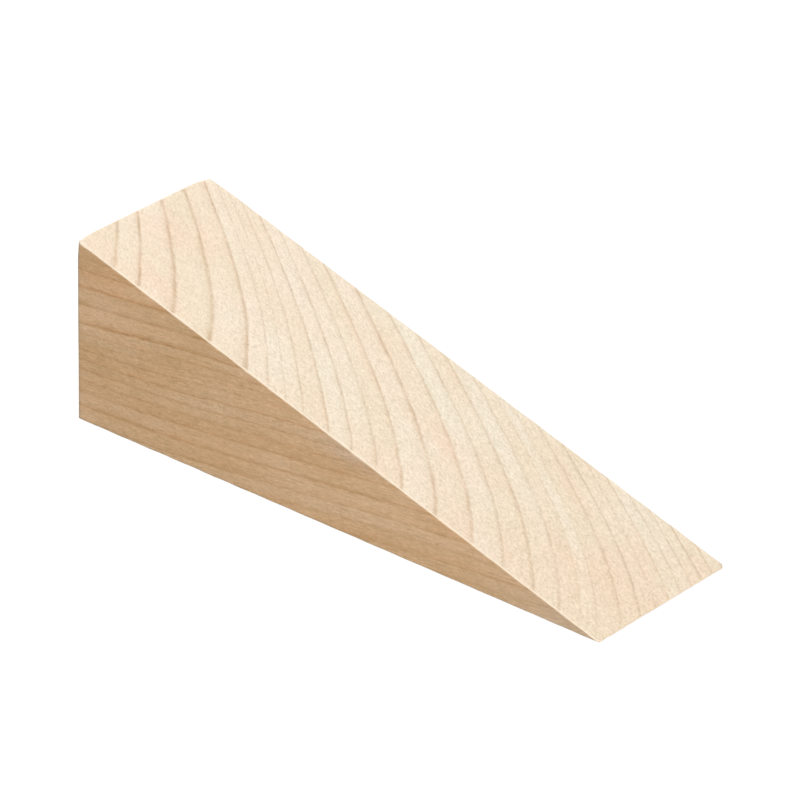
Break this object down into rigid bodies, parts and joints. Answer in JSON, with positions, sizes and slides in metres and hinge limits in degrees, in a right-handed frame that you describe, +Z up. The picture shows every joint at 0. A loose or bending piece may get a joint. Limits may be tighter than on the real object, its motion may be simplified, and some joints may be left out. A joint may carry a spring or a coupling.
{
  "type": "door wedge",
  "caption": "Solid softwood wedge with a flat sole and a long shallow ramp, pushed under a door to hold it open.",
  "frame": {"origin": "middle of the sole, which is the bottom centre of the bounding box", "axes": "+X runs from the thick heel to the thin toe, +Z is up from the sole to the ramp, and Y runs across the width; the block is symmetric about the plane y = 0"},
  "size_m": [0.15, 0.044, 0.0448],
  "materials": {
    "softwood": "bare pale softwood, planed sides and a finely sawn ramp, lightly sanded, no varnish"
  },
  "bodies": {
    "root": {"wedge_block": "softwood"}
  },
  "joints": []
}
